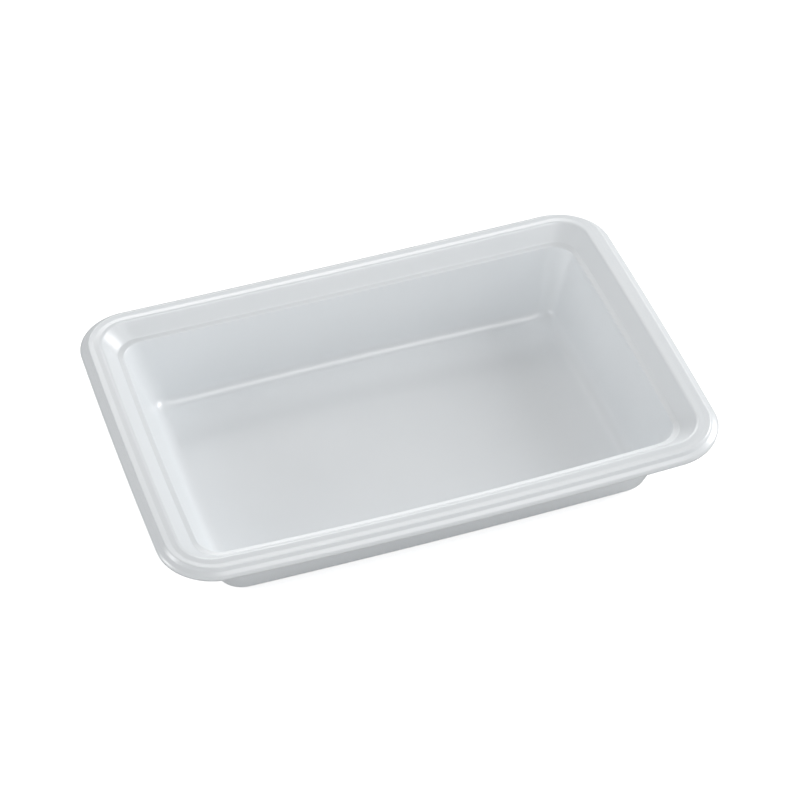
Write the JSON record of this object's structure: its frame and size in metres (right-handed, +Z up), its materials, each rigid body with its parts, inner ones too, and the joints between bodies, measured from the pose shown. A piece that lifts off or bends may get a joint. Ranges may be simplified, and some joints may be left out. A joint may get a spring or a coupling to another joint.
{
  "type": "disposable bento container",
  "caption": "Shallow rectangular foam tray with rounded corners, leaning walls, a narrow inner ledge and a beaded rim with a turned-down lip.",
  "frame": {"origin": "on the table, under the centre of the base", "axes": "+Z up out of the open mouth, X along the long sides, Y along the short sides"},
  "size_m": [0.218, 0.153, 0.0358],
  "materials": {
    "foam": "satin white foamed polystyrene sheet"
  },
  "bodies": {
    "root": {"tray": "foam"}
  },
  "joints": []
}
